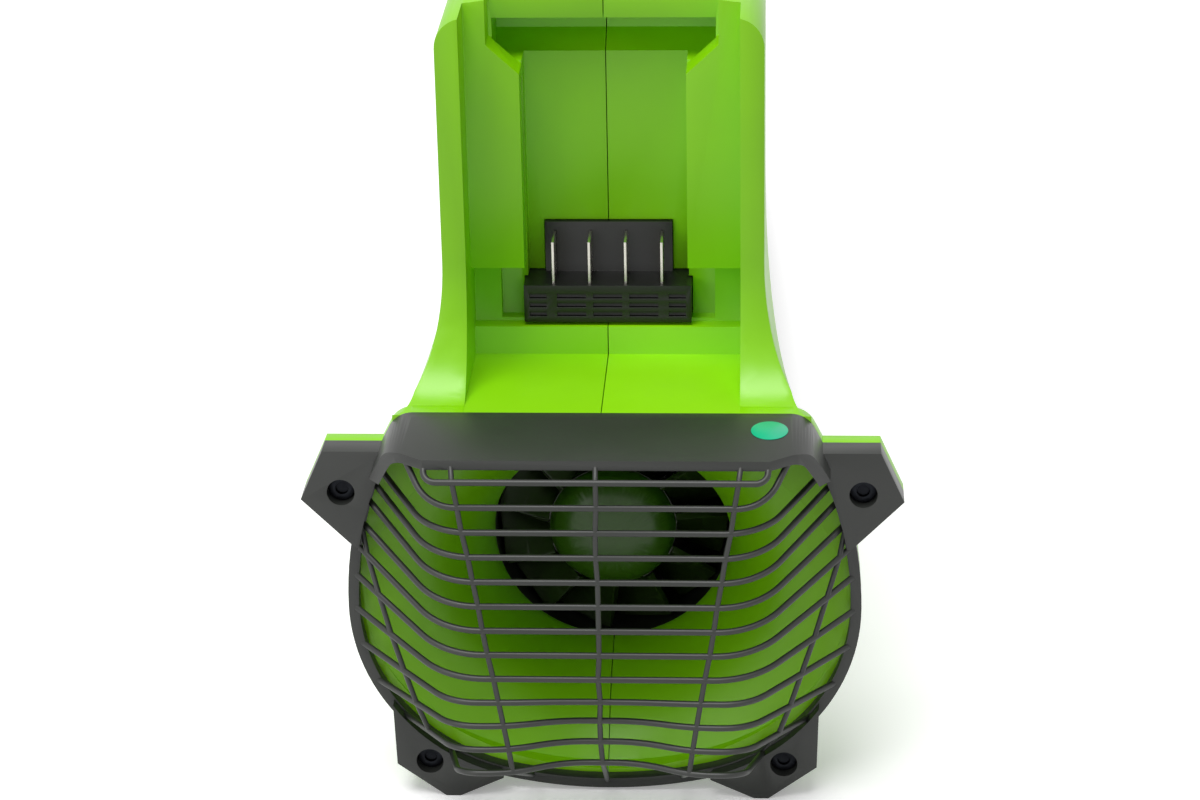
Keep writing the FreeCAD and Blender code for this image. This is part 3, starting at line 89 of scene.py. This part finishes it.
def linear(code: str) -> tuple[float, float, float, float]:
    """Turns an sRGB hex colour into the linear colour that a shader holds.

    Args:
        code: Six hex digits, with or without a leading hash.

    Returns:
        Linear red, green, blue and an alpha of one.
    """
    digits = code.lstrip("#")
    parts = [int(digits[start:start + 2], 16) / 255 for start in (0, 2, 4)]
    red, green, blue = [part / 12.92 if part <= 0.04045 else ((part + 0.055) / 1.055) ** 2.4
                        for part in parts]
    return red, green, blue, 1.0


def add_node(tree: bpy.types.NodeTree, kind: str, settings: dict | None = None,
             links: dict | None = None) -> bpy.types.Node:
    """Adds one node to a tree, with its settings, constant inputs and incoming links.

    Args:
        tree: The node tree to add to.
        kind: The node's type name.
        settings: Attribute or input-socket names to values.
        links: Input-socket names or numbers to the output sockets that feed them.

    Returns:
        The new node.
    """
    made = tree.nodes.new(kind)
    for name, value in (settings or {}).items():
        if isinstance(name, str) and hasattr(made, name):
            setattr(made, name, value)
        else:
            made.inputs[name].default_value = value
    for name, source in (links or {}).items():
        tree.links.new(source, made.inputs[name])
    return made


class Flow(Enum):
    """Which way a finish's marks run."""

    EVEN = (1.0, 1.0, 1.0)
    ALONG_Y = (1.0, 0.06, 1.0)


@dataclass(frozen=True)
class SurfaceFinish:
    """What a surface is made of, as numbers that its shader starts from."""

    name: str
    base: str
    shade: str
    roughness: float
    roughness_spread: float
    mottle_mm: float
    grain_mm: float
    grain_depth_mm: float
    metallic: float = 0.0
    ior: float = 1.5
    coat: float = 0.0
    flow: Flow = Flow.EVEN

    def material(self) -> bpy.types.Material:
        """Builds the material, once.

        Returns:
            The material with this finish's name.
        """
        existing = bpy.data.materials.get(self.name)
        if existing:
            return existing
        made = bpy.data.materials.new(self.name)
        made.use_nodes = True
        tree = made.node_tree
        tree.nodes.clear()
        place = add_node(tree, "ShaderNodeTexCoord")
        turned = add_node(tree, "ShaderNodeMapping", {"Scale": self.flow.value},
                          {"Vector": place.outputs["Object"]})
        mottle = add_node(tree, "ShaderNodeTexNoise",
                          {"Scale": 1.0 / (self.mottle_mm * MM), "Detail": MOTTLE_DETAIL,
                           "Roughness": MOTTLE_ROUGHNESS},
                          {"Vector": turned.outputs["Vector"]})
        ramp = add_node(tree, "ShaderNodeValToRGB", {}, {"Fac": mottle.outputs["Fac"]})
        dark, light = ramp.color_ramp.elements
        dark.position = MOTTLE_DARK
        dark.color = linear(self.shade)
        light.position = MOTTLE_LIGHT
        light.color = linear(self.base)
        gloss = add_node(tree, "ShaderNodeMapRange",
                         {"To Min": self.roughness - self.roughness_spread,
                          "To Max": self.roughness + self.roughness_spread},
                         {"Value": mottle.outputs["Fac"]})
        grain = add_node(tree, "ShaderNodeTexNoise",
                         {"Scale": 1.0 / (self.grain_mm * MM), "Detail": GRAIN_DETAIL},
                         {"Vector": turned.outputs["Vector"]})
        bump = add_node(tree, "ShaderNodeBump",
                        {"Strength": GRAIN_STRENGTH, "Distance": self.grain_depth_mm * MM},
                        {"Height": grain.outputs["Fac"]})
        shader = add_node(tree, "ShaderNodeBsdfPrincipled",
                          {"Metallic": self.metallic, "IOR": self.ior,
                           "Coat Weight": self.coat},
                          {"Base Color": ramp.outputs["Color"],
                           "Roughness": gloss.outputs["Result"],
                           "Normal": bump.outputs["Normal"]})
        add_node(tree, "ShaderNodeOutputMaterial", {}, {"Surface": shader.outputs["BSDF"]})
        return made


# Moulded ABS in a satin tool: even colour, soft highlights, a grain just felt by a nail.
GREEN_ABS = SurfaceFinish("green_abs_moulded", "#8BD400", "#84CC00", 0.36, 0.05, 45.0, 0.9, 0.012)
# Glass-filled nylon in a spark-eroded tool: dark grey, broad dull sheen.
GREY_NYLON = SurfaceFinish("grey_nylon_moulded", "#2B2D2A", "#272926", 0.42, 0.06, 30.0, 0.8, 0.02)
# The same nylon in black, for the terminal block, the controls, the duct and the capacitors.
BLACK_NYLON = SurfaceFinish("black_nylon_moulded", "#0E0F0B", "#0B0C0A", 0.4, 0.06, 20.0, 0.7,
                            0.015)
# Polypropylene tube: dark, a little waxy.
BLACK_POLYPROPYLENE = SurfaceFinish("black_polypropylene_blown", "#23241F", "#1E1F1C", 0.45, 0.07,
                                    60.0, 1.2, 0.02)
# Fan moulded in dark green-black nylon with a polished tool: darker and shinier.
FAN_NYLON = SurfaceFinish("fan_nylon_polished", "#1F2E0C", "#1A270A", 0.3, 0.05, 25.0, 1.0, 0.006)
# The fan's cap, the same dark nylon as the fan, with painted light in its colour: the extra green
# is painted green bounce light from the housing's walls.
CAP_NYLON_PAINTED_GREEN_BOUNCE = SurfaceFinish("fan_cap_nylon_painted_green_bounce", "#3A6010", "#33560D", 0.34, 0.05, 25.0, 1.0, 0.006)
# Thermoplastic rubber: no highlight edges, soft touch.
SOFT_RUBBER = SurfaceFinish("grip_rubber_moulded", "#1C1D1A", "#191A18", 0.72, 0.06, 12.0, 0.6,
                            0.04)
# Zinc-plated steel: pale, slightly blue, streaked by barrel plating.
ZINC_STEEL = SurfaceFinish("zinc_plated_steel", "#B9BBBD", "#A6A8AB", 0.34, 0.08, 3.0, 0.3, 0.004,
                           metallic=1.0)
# Black phosphated steel of the grille's screws: nearly black, dry, fine crystals.
BLACK_STEEL = SurfaceFinish("phosphated_black_steel", "#24262A", "#1C1D20", 0.5, 0.06, 2.0, 0.25,
                            0.006, metallic=1.0)
# Tinned brass contacts: warm white metal, brushed by the pack's sockets.
TINNED_BRASS = SurfaceFinish("tinned_brass_contacts", "#D0CDC3", "#BDBAAF", 0.28, 0.08, 4.0, 0.25,
                             0.004, metallic=1.0, flow=Flow.ALONG_Y)
# Rolled steel of the motor: grey, oily, drawn along its length.
MOTOR_STEEL = SurfaceFinish("rolled_motor_steel", "#8E8F90", "#7F8082", 0.4, 0.08, 6.0, 0.5, 0.004,
                            metallic=1.0, flow=Flow.ALONG_Y)
# Extruded aluminium sink: matt, lines along the extrusion.
SINK_ALUMINIUM = SurfaceFinish("extruded_aluminium", "#C4C6C8", "#B5B7BA", 0.38, 0.06, 5.0, 0.4,
                               0.006, metallic=1.0)
# Enamelled copper winding ends: orange-brown, glossy varnish over wire.
ENAMELLED_COPPER = SurfaceFinish("enamelled_copper_wire", "#B4632C", "#8F4A1E", 0.3, 0.08, 2.0,
                                 1.1, 0.15, metallic=1.0, coat=0.5)
# Solder mask over glass laminate: green, smooth, faintly woven.
SOLDER_MASK = SurfaceFinish("solder_mask_laminate", "#1E5B34", "#184C2B", 0.35, 0.05, 8.0, 1.4,
                            0.01)
# Vinyl insulation: smooth, even, softly glossy.
RED_VINYL = SurfaceFinish("red_vinyl_insulation", "#8E1A16", "#7D1613", 0.38, 0.05, 10.0, 1.0,
                          0.005)
# Polyester film without any print: flat teal, smooth.
TEAL_FILM = SurfaceFinish("teal_polyester_film", "#00B98A", "#00B386", 0.3, 0.03, 9.0, 1.5, 0.002)


# ------------------------------------------------------------------ modelling helpers

def select_only(piece: bpy.types.Object) -> None:
    """Makes one object the only selected one and the active one.

    Args:
        piece: The object to select.
    """
    bpy.ops.object.select_all(action="DESELECT")
    piece.select_set(True)
    bpy.context.view_layer.objects.active = piece


def apply_modifiers(piece: bpy.types.Object) -> None:
    """Applies every modifier of a piece, in order.

    Args:
        piece: The object whose modifiers are applied.
    """
    select_only(piece)
    for modifier in list(piece.modifiers):
        bpy.ops.object.modifier_apply(modifier=modifier.name)


def round_edges(piece: bpy.types.Object, width_mm: float) -> None:
    """Rounds the sharp edges of a piece.

    Args:
        piece: The object whose edges are rounded.
        width_mm: Millimetres taken off each side of an edge.
    """
    rounding = piece.modifiers.new("edges", "BEVEL")
    rounding.width = width_mm * MM
    rounding.segments = EDGE_SEGMENTS
    rounding.limit_method = "ANGLE"
    rounding.angle_limit = math.radians(EDGE_DEGREES)
    rounding.use_clamp_overlap = True
    apply_modifiers(piece)


def settle(piece: bpy.types.Object, name: str, finish: SurfaceFinish, body: str,
           smooth: float = SMOOTH_DEGREES) -> bpy.types.Object:
    """Gives a finished piece its name, shading, material and body, with its place in its mesh.

    Args:
        piece: The modelled object.
        name: The piece's name.
        finish: What it is made of.
        body: The body that it rides on.
        smooth: Edges sharper than this angle stay sharp, in degrees.

    Returns:
        The same object.
    """
    select_only(piece)
    bpy.ops.object.transform_apply(location=True, rotation=True, scale=True)
    bpy.ops.object.shade_smooth_by_angle(angle=math.radians(smooth))
    piece.name = name
    piece.data.name = name
    piece.data.materials.clear()
    piece.data.materials.append(finish.material())
    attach(piece, body)
    LOG.info("%s: %d faces on %s", name, len(piece.data.polygons), body)
    return piece


@dataclass
class RefinedNode:
    """A machined or moulded node shown as a merged copy with its edges broken."""

    node: str
    finish: SurfaceFinish
    body: str
    edge_mm: float = 0.3
    smooth: float = SMOOTH_DEGREES

    def build(self) -> bpy.types.Object:
        """Copies the node's mesh, merges and cleans it, rounds its edges and dresses it.

        Returns:
            The piece that stands for the node.
        """
        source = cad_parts[self.node]
        piece = bpy.data.objects.new(self.node + "_look", source.data.copy())
        bpy.context.scene.collection.objects.link(piece)
        select_only(piece)
        bpy.ops.object.mode_set(mode="EDIT")
        bpy.ops.mesh.select_all(action="SELECT")
        bpy.ops.mesh.remove_doubles(threshold=MERGE_M)
        bpy.ops.mesh.customdata_custom_splitnormals_clear()
        bpy.ops.mesh.dissolve_limited(angle_limit=math.radians(FLAT_DEGREES))
        bpy.ops.object.mode_set(mode="OBJECT")
        if self.edge_mm > 0:
            round_edges(piece, self.edge_mm)
        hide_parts(self.node)
        return settle(piece, self.node + "_look", self.finish, self.body, self.smooth)


# ------------------------------------------------------------------ sub-assemblies

@dataclass
class Housing:
    """The two green halves, their screws and the small things moulded on them."""

    edge_mm: float = 0.5

    def build(self) -> None:
        """Builds every visible piece of the housing."""
        for side in ("housing_left", "housing_right"):
            RefinedNode(side, GREEN_ABS, BLOWER, self.edge_mm).build()
        RefinedNode("housing_screws", ZINC_STEEL, BLOWER, edge_mm=0.2).build()


@dataclass
class IntakeGrille:
    """The dark basket over the intake, its screws and its bare sticker."""

    edge_mm: float = 0.2
    sticker_half_width_mm: float = 5.4
    sticker_half_length_mm: float = 6.4
    sticker_thickness_mm: float = 0.25
    sticker_edge_mm: float = 0.1
    sticker_sides: int = 64
    sticker_place: tuple[float, float, float] = (49.5, -12.5, 62.0)

    def build(self) -> None:
        """Builds the grille, its screws and the sticker on its collar."""
        RefinedNode("intake_grille", GREY_NYLON, BLOWER, self.edge_mm).build()
        RefinedNode("grille_screws", BLACK_STEEL, BLOWER, edge_mm=0.2).build()
        self.sticker()

    def sticker(self) -> bpy.types.Object:
        """Makes the oval sticker, without any mark, on the collar's flat top.

        Returns:
            The sticker.
        """
        bpy.ops.object.select_all(action="DESELECT")
        thick = self.sticker_thickness_mm * MM
        middle = spot(*self.sticker_place) + Vector((0, 0, thick / 2))
        bpy.ops.mesh.primitive_cylinder_add(vertices=self.sticker_sides, radius=1.0, depth=thick,
                                            location=middle)
        piece = bpy.context.active_object
        piece.scale = (self.sticker_half_width_mm * MM, self.sticker_half_length_mm * MM, 1.0)
        select_only(piece)
        bpy.ops.object.transform_apply(location=True, rotation=True, scale=True)
        round_edges(piece, self.sticker_edge_mm)
        return settle(piece, "collar_sticker", TEAL_FILM, BLOWER)


@dataclass
class BatteryTerminals:
    """The black terminal block in the bay and its four contact blades."""

    def build(self) -> None:
        """Builds the block and its blades."""
        RefinedNode("terminal_block", BLACK_NYLON, BLOWER, edge_mm=0.25).build()
        RefinedNode("terminal_blades", TINNED_BRASS, BLOWER, edge_mm=0.18).build()


@dataclass
class Controls:
    """The grip's sleeve and everything that the hand works.

    The button's spring gets a mesh of its own, shaped as modelled.
    """

    spring_axis: tuple[float, float, float] = (0.0, 0.34202, 0.939693)
    spring_foot: tuple[float, float, float] = (0.0, 111.8, 133.93)
    spring_kept: float = 0.7

    def build(self) -> None:
        """Builds the sleeve, trigger, lever and button with the parts behind them."""
        RefinedNode("grip_sleeve", SOFT_RUBBER, BLOWER, edge_mm=0.4).build()
        RefinedNode("trigger", BLACK_NYLON, "finger_trigger", edge_mm=0.8).build()
        RefinedNode("cruise_lever", BLACK_NYLON, "speed_lever", edge_mm=0.8).build()
        RefinedNode("turbo_button", GREEN_ABS, "boost_button", edge_mm=0.6).build()
        RefinedNode("switch_plunger", BLACK_NYLON, "plunger", edge_mm=0.2).build()
        for inner in ("trigger_switch", "speed_sensor"):
            RefinedNode(inner, BLACK_NYLON, BLOWER, edge_mm=0.3).build()
        for metal in ("trigger_pin", "trigger_spring"):
            RefinedNode(metal, ZINC_STEEL, BLOWER, edge_mm=0.0).build()
        spring = RefinedNode("button_spring", ZINC_STEEL, BLOWER, edge_mm=0.0).build()
        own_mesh(spring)
        RefinedNode("button_board", SOLDER_MASK, BLOWER, edge_mm=0.1).build()


@dataclass
class FanAndMotor:
    """The fan, its duct and the motor in the duct's pod."""

    def build(self) -> None:
        """Builds the turning parts, then the parts that hold them."""
        RefinedNode("impeller", FAN_NYLON, "fan_rotor", edge_mm=0.3).build()
        # The cap's material carries painted green bounce light over the fan's dark nylon.
        RefinedNode("spinner", CAP_NYLON_PAINTED_GREEN_BOUNCE, "fan_rotor", edge_mm=0.3).build()
        for turning in ("fan_nut", "motor_shaft"):
            RefinedNode(turning, ZINC_STEEL, "fan_rotor", edge_mm=0.2).build()
        RefinedNode("rotor_magnet", MOTOR_STEEL, "fan_rotor", edge_mm=0.3).build()
        for fixed in ("fan_duct", "tail_cone"):
            RefinedNode(fixed, BLACK_NYLON, BLOWER, edge_mm=0.3).build()
        for fixed in ("motor_can", "motor_end_cap", "stator_core"):
            RefinedNode(fixed, MOTOR_STEEL, BLOWER, edge_mm=0.3).build()
        for fixed in ("front_bearing", "rear_bearing"):
            RefinedNode(fixed, ZINC_STEEL, BLOWER, edge_mm=0.3).build()
        RefinedNode("stator_windings", ENAMELLED_COPPER, BLOWER, edge_mm=0.8).build()


@dataclass
class Electronics:
    """The controller with its heat sink, capacitors and leads."""

    def build(self) -> None:
        """Builds the board, what is on it and the leads from it."""
        RefinedNode("controller_board", SOLDER_MASK, BLOWER, edge_mm=0.1).build()
        RefinedNode("heat_sink", SINK_ALUMINIUM, BLOWER, edge_mm=0.2).build()
        RefinedNode("capacitors", BLACK_NYLON, BLOWER, edge_mm=0.5).build()
        for leads in ("battery_leads", "motor_leads", "grip_leads"):
            RefinedNode(leads, RED_VINYL, BLOWER, edge_mm=0.0, smooth=60.0).build()


@dataclass
class Nozzle:
    """The tapering tube that slides on the spigot."""

    def build(self) -> None:
        """Builds the nozzle."""
        RefinedNode("nozzle", BLACK_POLYPROPYLENE, "blow_tube", edge_mm=0.5, smooth=40.0).build()


# ------------------------------------------------------------------ studio

@dataclass
class Studio:
    """The floor, the light and the camera, with places in millimetres and angles in degrees."""

    camera_place: tuple[float, float, float] = (52.5, -892.4, 455.4)
    yaw: float = 3.38
    pitch: float = 23.53
    roll: float = -1.15
    lens_mm: float = 99.81
    sensor_mm: float = 36.0
    lit_place: tuple[float, float, float] = (0.0, 20.0, 40.0)
    top_place: tuple[float, float, float] = (-160.0, -260.0, 1100.0)
    top_level: float = 2.5
    top_spread: float = 38.0
    side_place: tuple[float, float, float] = (-900.0, -900.0, 500.0)
    side_watts: float = 3.0
    side_metres: float = 0.8
    sky_level: float = 0.36
    floor_metres: float = 12.0
    floor_glow: float = 0.25
    floor_colour: str = "#FBFBFB"
    bounce_colour: str = "#8A8A8A"

    def build(self) -> None:
        """Sets the view, the world, the lamps and the floor."""
        scene = bpy.context.scene
        scene.view_settings.view_transform = "Standard"
        self.camera()
        self.world()
        self.lamps()
        self.floor()

    def camera(self) -> None:
        """Stands the camera behind and above the blower."""
        yaw, pitch, roll = (math.radians(angle) for angle in (self.yaw, self.pitch, self.roll))
        ahead = Vector((-math.sin(yaw) * math.cos(pitch), math.cos(yaw) * math.cos(pitch),
                        -math.sin(pitch)))
        level = Vector((math.cos(yaw), math.sin(yaw), 0.0))
        upright = level.cross(ahead)
        right = level * math.cos(roll) + upright * math.sin(roll)
        top = upright * math.cos(roll) - level * math.sin(roll)
        lens = bpy.data.cameras.new("studio_camera")
        lens.sensor_width = self.sensor_mm
        lens.lens = self.lens_mm
        camera = bpy.data.objects.new("studio_camera", lens)
        turn = Matrix((right, top, -ahead)).transposed()
        camera.matrix_world = Matrix.Translation(spot(*self.camera_place)) @ turn.to_4x4()
        bpy.context.scene.collection.objects.link(camera)
        bpy.context.scene.camera = camera

    def looked_at(self, tree: bpy.types.NodeTree) -> bpy.types.NodeSocket:
        """Adds the nodes that tell the eye's and the reflections' rays from those that light.

        Args:
            tree: The node tree to add to.

        Returns:
            A socket that is one for camera, glossy and transmission rays.
        """
        path = add_node(tree, "ShaderNodeLightPath")
        mirrored = add_node(tree, "ShaderNodeMath", {"operation": "MAXIMUM"},
                            {0: path.outputs["Is Glossy Ray"],
                             1: path.outputs["Is Transmission Ray"]})
        either = add_node(tree, "ShaderNodeMath", {"operation": "MAXIMUM"},
                          {0: path.outputs["Is Camera Ray"], 1: mirrored.outputs["Value"]})
        return either.outputs["Value"]

    def world(self) -> None:
        """Makes a white backdrop for the eye and a soft grey light for the object."""
        world = bpy.data.worlds.new("studio_world")
        bpy.context.scene.world = world
        world.use_nodes = True
        tree = world.node_tree
        tree.nodes.clear()
        strength = add_node(tree, "ShaderNodeMapRange",
                            {"To Min": self.sky_level, "To Max": 1.0},
                            {"Value": self.looked_at(tree)})
        back = add_node(tree, "ShaderNodeBackground", {"Color": (1.0, 1.0, 1.0, 1.0)},
                        {"Strength": strength.outputs["Result"]})
        add_node(tree, "ShaderNodeOutputWorld", {}, {"Surface": back.outputs["Background"]})

    def lamp(self, name: str, kind: str, place: Vector, power: float,
             size: float) -> None:
        """Adds one soft lamp that shines on the lit place.

        Args:
            name: The lamp's name.
            kind: SUN for light that is even over the floor, AREA for a square panel.
            place: Where it stands.
            power: Its irradiance for a sun, its watts for a panel.
            size: The sun's angle in radians, or the panel's side in metres.
        """
        light = bpy.data.lights.new(name, kind)
        light.energy = power
        if kind == "SUN":
            light.angle = size
        else:
            light.shape = "SQUARE"
            light.size = size
        lamp = bpy.data.objects.new(name, light)
        lamp.location = place
        lamp.rotation_mode = "QUATERNION"
        lamp.rotation_quaternion = (spot(*self.lit_place) - place).to_track_quat("-Z", "Y")
        bpy.context.scene.collection.objects.link(lamp)

    def lamps(self) -> None:
        """Sets one even light overhead and a weak panel on the left."""
        self.lamp("overhead_lamp", "SUN", spot(*self.top_place), self.top_level,
                  math.radians(self.top_spread))
        self.lamp("left_panel", "AREA", spot(*self.side_place), self.side_watts,
                  self.side_metres)

    def floor(self) -> None:
        """Lays a floor that looks white with its shadow, and throws little light back."""
        bpy.ops.object.select_all(action="DESELECT")
        bpy.ops.mesh.primitive_plane_add(size=self.floor_metres, location=(0, 0, 0))
        floor = bpy.context.active_object
        floor.name = "studio_floor"
        made = bpy.data.materials.new("pale_studio_floor")
        made.use_nodes = True
        tree = made.node_tree
        tree.nodes.clear()
        seen = add_node(tree, "ShaderNodeBsdfDiffuse",
                        {"Color": linear(self.floor_colour)})
        glow = add_node(tree, "ShaderNodeEmission", {"Strength": self.floor_glow})
        paler = add_node(tree, "ShaderNodeAddShader", {},
                         {0: seen.outputs["BSDF"], 1: glow.outputs["Emission"]})
        bounced = add_node(tree, "ShaderNodeBsdfDiffuse",
                           {"Color": linear(self.bounce_colour)})
        either = add_node(tree, "ShaderNodeMixShader", {},
                          {0: self.looked_at(tree), 1: bounced.outputs["BSDF"],
                           2: paler.outputs["Shader"]})
        add_node(tree, "ShaderNodeOutputMaterial", {}, {"Surface": either.outputs["Shader"]})
        floor.data.materials.append(made)


def main() -> None:
    """Builds the studio and every sub-assembly."""
    logging.basicConfig(level=logging.INFO, format="%(message)s")
    Studio().build()
    for assembly in (Housing(), IntakeGrille(), BatteryTerminals(), Controls(), FanAndMotor(),
                     Electronics(), Nozzle()):
        assembly.build()
        LOG.info("built %s", type(assembly).__name__)


if __name__ == "__main__":
    main()
